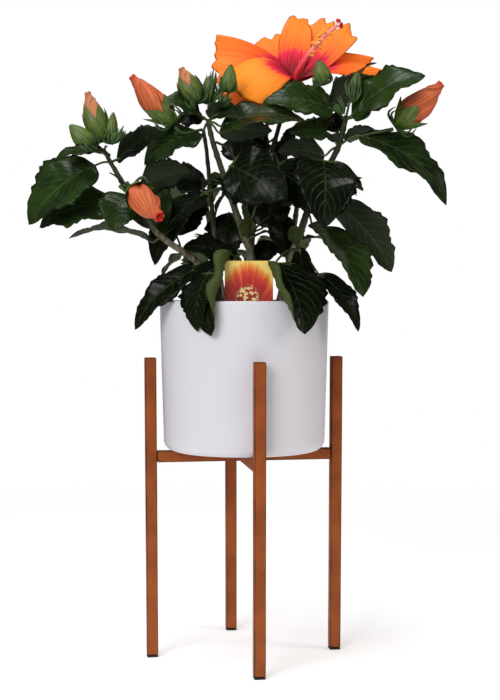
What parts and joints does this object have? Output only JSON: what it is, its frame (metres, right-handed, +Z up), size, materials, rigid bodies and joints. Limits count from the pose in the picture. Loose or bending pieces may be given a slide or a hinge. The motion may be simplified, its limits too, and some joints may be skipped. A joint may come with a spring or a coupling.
{
  "type": "potted hibiscus shrub on a metal plant stand",
  "caption": "Flowering hibiscus shrub with glossy toothed leaves, an open orange bloom and buds, in a round white pot on a square-tube steel plant stand.",
  "frame": {"origin": "middle of the underside of the whole object's box, on the level that the stand's feet rest on", "axes": "+Z up along the pot's axis, -Y towards the front where the bloom and the label face, +X to the right seen from the front"},
  "size_m": [0.3576, 0.2118, 0.5756],
  "materials": {
    "stand_paint": "rust-brown powder coat, satin",
    "foot_rubber": "matt black",
    "pot_glaze": "smooth white, satin",
    "soil": "crumbly potting mix",
    "label_card": "printed card, satin",
    "bark": "fine bark with leaf scars",
    "green_stem": "young green shoot",
    "leaf": "glossy upper face, matt underside",
    "petal": "soft petal with crimson eye",
    "column": "waxy",
    "sepal": "matt green",
    "bud": "furled petals"
  },
  "bodies": {
    "root": {"stand_leg_front": "stand_paint", "stand_glide_front": "foot_rubber", "stand_leg_right": "stand_paint", "stand_glide_right": "foot_rubber", "stand_leg_back": "stand_paint", "stand_glide_back": "foot_rubber", "stand_leg_left": "stand_paint", "stand_glide_left": "foot_rubber", "stand_rail_through": "stand_paint", "stand_rail_front": "stand_paint", "stand_rail_back": "stand_paint", "pot": "pot_glaze", "potting_soil": "soil", "plant_label": "label_card", "stem_centre": "bark", "stem_thin": "bark", "stem_right": "bark", "stem_left": "bark", "stem_back_left": "bark", "stem_back_right": "bark", "bough_flower": "green_stem", "bough_back": "green_stem", "bloom_petals": "petal", "bloom_column": "column", "bloom_calyx": "sepal", "bud_left": "bud", "pedicel_left": "green_stem", "bud_right": "bud", "pedicel_right": "green_stem", "bud_front": "bud", "pedicel_front": "green_stem", "bud_small_left": "sepal", "bud_small_left_inner": "sepal", "bud_small_far_left": "sepal", "bud_small_centre": "sepal", "bud_small_top": "sepal", "bud_small_bloom_left": "sepal", "bud_small_bloom_right": "sepal", "bud_small_right": "sepal", "foliage_left_tip": "leaf", "foliage_left_middle": "leaf", "foliage_left_low": "leaf", "foliage_centre_tip": "leaf", "foliage_centre_fork": "leaf", "foliage_right_middle": "leaf", "foliage_centre_low": "leaf", "foliage_right_tip": "leaf", "foliage_right_upper": "leaf", "foliage_right_low": "leaf", "foliage_right_foot": "leaf", "foliage_skirt_front": "leaf", "foliage_skirt_left": "leaf", "foliage_back_left_low": "leaf", "foliage_back_left_top": "leaf", "foliage_back_right_low": "leaf", "foliage_back_right_top": "leaf", "foliage_back_middle": "leaf", "foliage_back_top": "leaf"}
  },
  "joints": []
}
